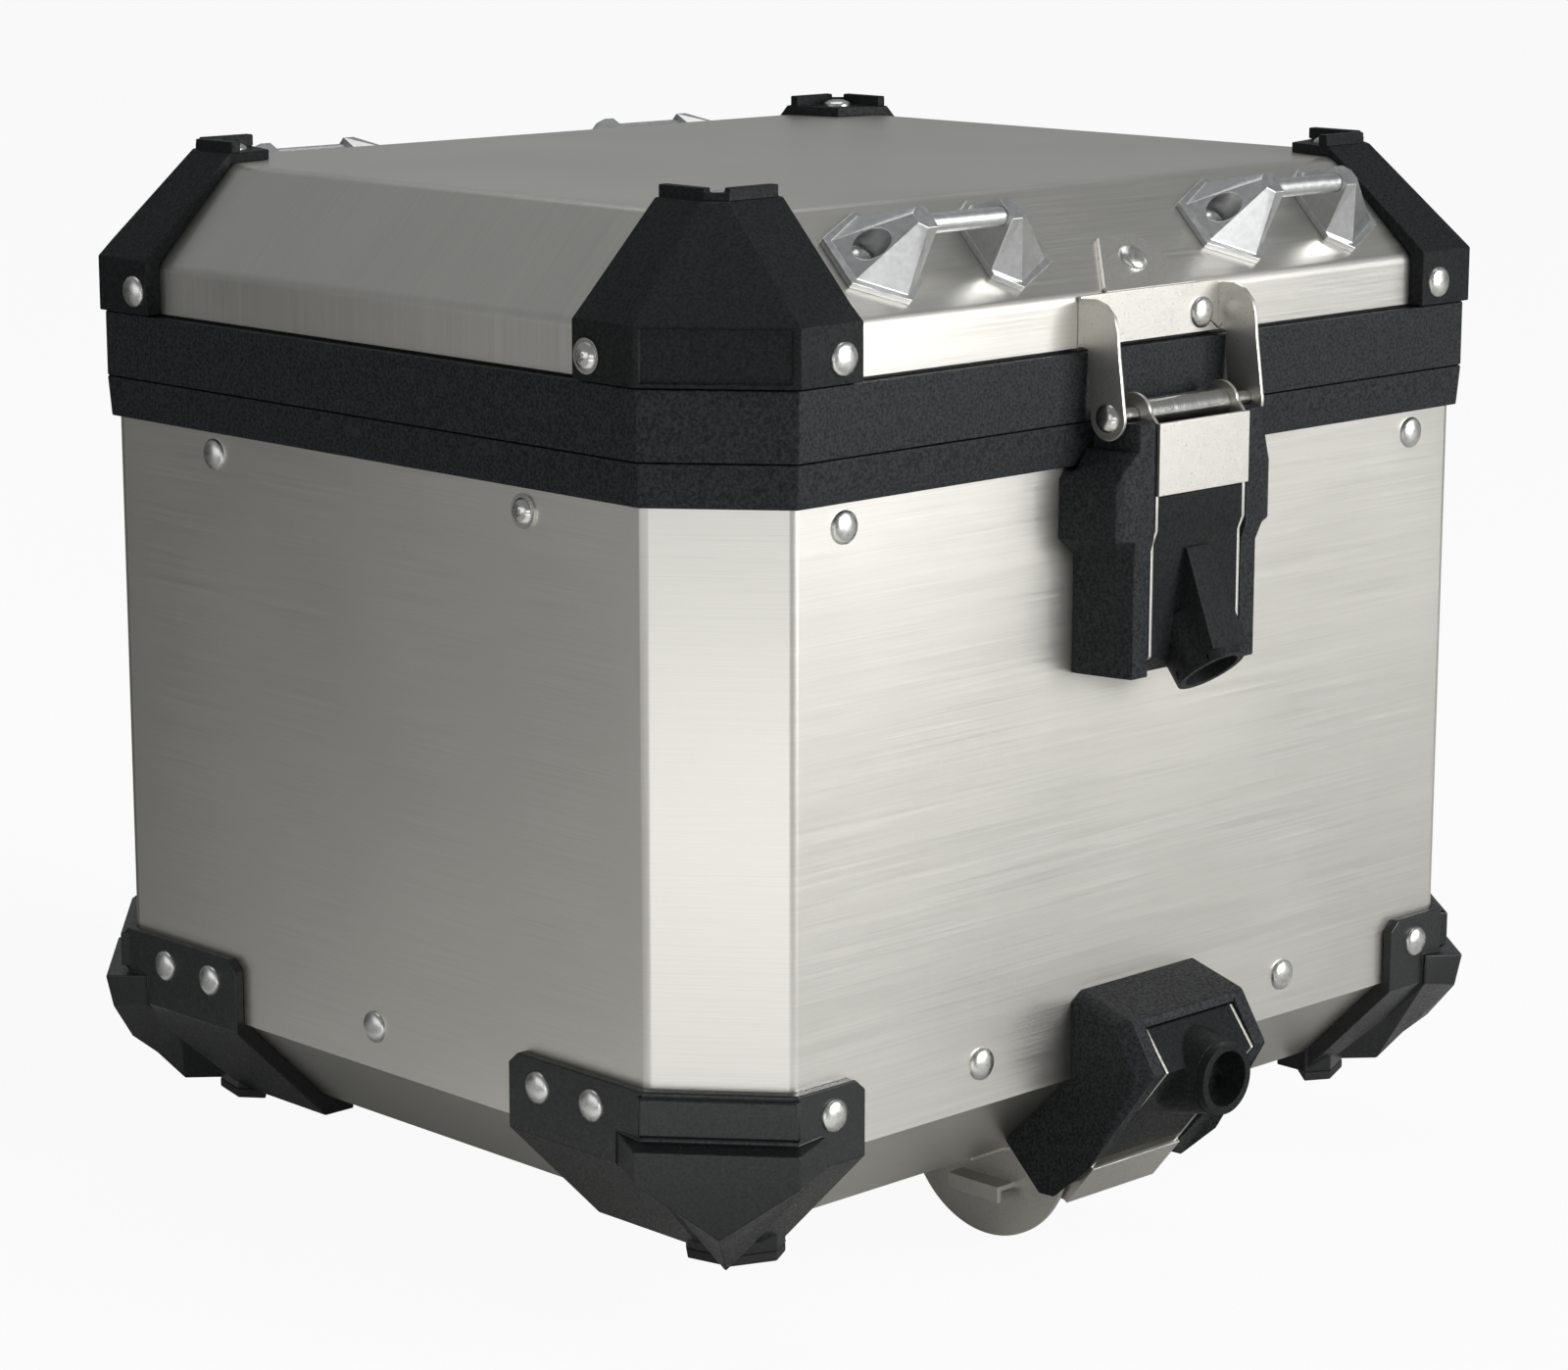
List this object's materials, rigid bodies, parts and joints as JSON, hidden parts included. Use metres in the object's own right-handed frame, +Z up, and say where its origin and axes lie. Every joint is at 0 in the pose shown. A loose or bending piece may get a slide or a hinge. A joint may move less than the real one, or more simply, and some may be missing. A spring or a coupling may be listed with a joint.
{
  "type": "motorcycle top case",
  "caption": "Riveted aluminium motorcycle top case with black corner feet and guards, hinged lid, keyed lid latch, lashing eyes and a keyed lock under the front edge.",
  "frame": {"origin": "centre of the floor's underside, the face that lies on the carrier", "axes": "+X to the right seen from the latch side, +Y to the hinges, +Z up"},
  "size_m": [0.4448, 0.435, 0.4055],
  "materials": {
    "aluminium_sheet": "fine brushed",
    "black_nylon": "fine-grained moulded",
    "black_rubber": "matt",
    "aluminium_rivet": "satin",
    "stainless_sheet": "blasted satin",
    "stainless_bar": "turned",
    "cast_alloy": "satin cast",
    "plated_zinc": "satin plated"
  },
  "bodies": {
    "case": {"body_walls": "aluminium_sheet", "base_pan": "aluminium_sheet", "body_rim": "black_nylon", "body_rim_rivets": "aluminium_rivet", "body_rim_screws": "stainless_bar", "wall_rivets": "aluminium_rivet", "foot_front_left": "black_nylon", "foot_front_right": "black_nylon", "foot_rear_left": "black_nylon", "foot_rear_right": "black_nylon", "foot_pads": "black_rubber", "foot_rivets": "aluminium_rivet", "floor_plate": "stainless_sheet", "latch_housing": "black_nylon", "latch_catch": "stainless_sheet", "latch_backing": "stainless_sheet", "base_bracket": "stainless_sheet", "base_bracket_rivets": "aluminium_rivet", "base_lock_housing": "black_nylon", "base_lock_catch": "stainless_sheet", "base_lock_backing": "stainless_sheet", "base_lock_pin": "stainless_bar", "lock_housing_screws": "stainless_bar", "hinge_leaf_body_left": "stainless_sheet", "hinge_leaf_body_right": "stainless_sheet", "hinge_pins": "stainless_bar", "hinge_body_rivets": "aluminium_rivet"},
    "lid": {"lid_shell": "aluminium_sheet", "lid_rim": "black_nylon", "lid_seal": "black_rubber", "guard_front_left": "black_nylon", "guard_front_right": "black_nylon", "guard_rear_left": "black_nylon", "guard_rear_right": "black_nylon", "guard_rivets": "aluminium_rivet", "guard_screws": "stainless_bar", "lash_feet_front_left": "cast_alloy", "lash_feet_front_right": "cast_alloy", "lash_feet_rear_left": "cast_alloy", "lash_feet_rear_right": "cast_alloy", "lash_bars": "cast_alloy", "lash_rivets": "aluminium_rivet", "strike_bracket": "stainless_sheet", "strike_rivets": "aluminium_rivet", "latch_pin": "stainless_bar", "hinge_leaf_lid_left": "stainless_sheet", "hinge_leaf_lid_right": "stainless_sheet", "hinge_lid_rivets": "aluminium_rivet"},
    "upper_lever": {"latch_lever": "stainless_sheet", "latch_cover": "black_nylon", "latch_sleeve": "stainless_bar", "latch_barrel": "plated_zinc"},
    "upper_key_cylinder": {"latch_plug": "plated_zinc", "latch_cam": "stainless_sheet"},
    "lower_lever": {"base_lever": "stainless_sheet", "base_cover": "black_nylon", "base_barrel": "plated_zinc"},
    "lower_key_cylinder": {"base_plug": "plated_zinc", "base_cam": "stainless_sheet"}
  },
  "joints": [
    {"name": "lid_hinge", "type": "hinge", "parent": "case", "child": "lid", "pos_m": [0, 0.1985, 0.2806], "axis": [-1, 0, 0], "range_deg": [0, 95]},
    {"name": "upper_lever_pivot", "type": "hinge", "parent": "lid", "child": "upper_lever", "pos_m": [0, -0.202, 0.2831], "axis": [-1, 0, 0], "range_deg": [0, 110]},
    {"name": "upper_key_turn", "type": "hinge", "parent": "upper_lever", "child": "upper_key_cylinder", "pos_m": [0, -0.22, 0.1896], "axis": [0, 0.6157, 0.788], "range_deg": [0, 90]},
    {"name": "lower_lever_pivot", "type": "hinge", "parent": "case", "child": "lower_lever", "pos_m": [0, -0.1704, -0.0016], "axis": [1, 0, 0], "range_deg": [0, 30]},
    {"name": "lower_key_turn", "type": "hinge", "parent": "lower_lever", "child": "lower_key_cylinder", "pos_m": [0, -0.2315, 0.0391], "axis": [0, -1, 0], "range_deg": [0, 90]}
  ]
}
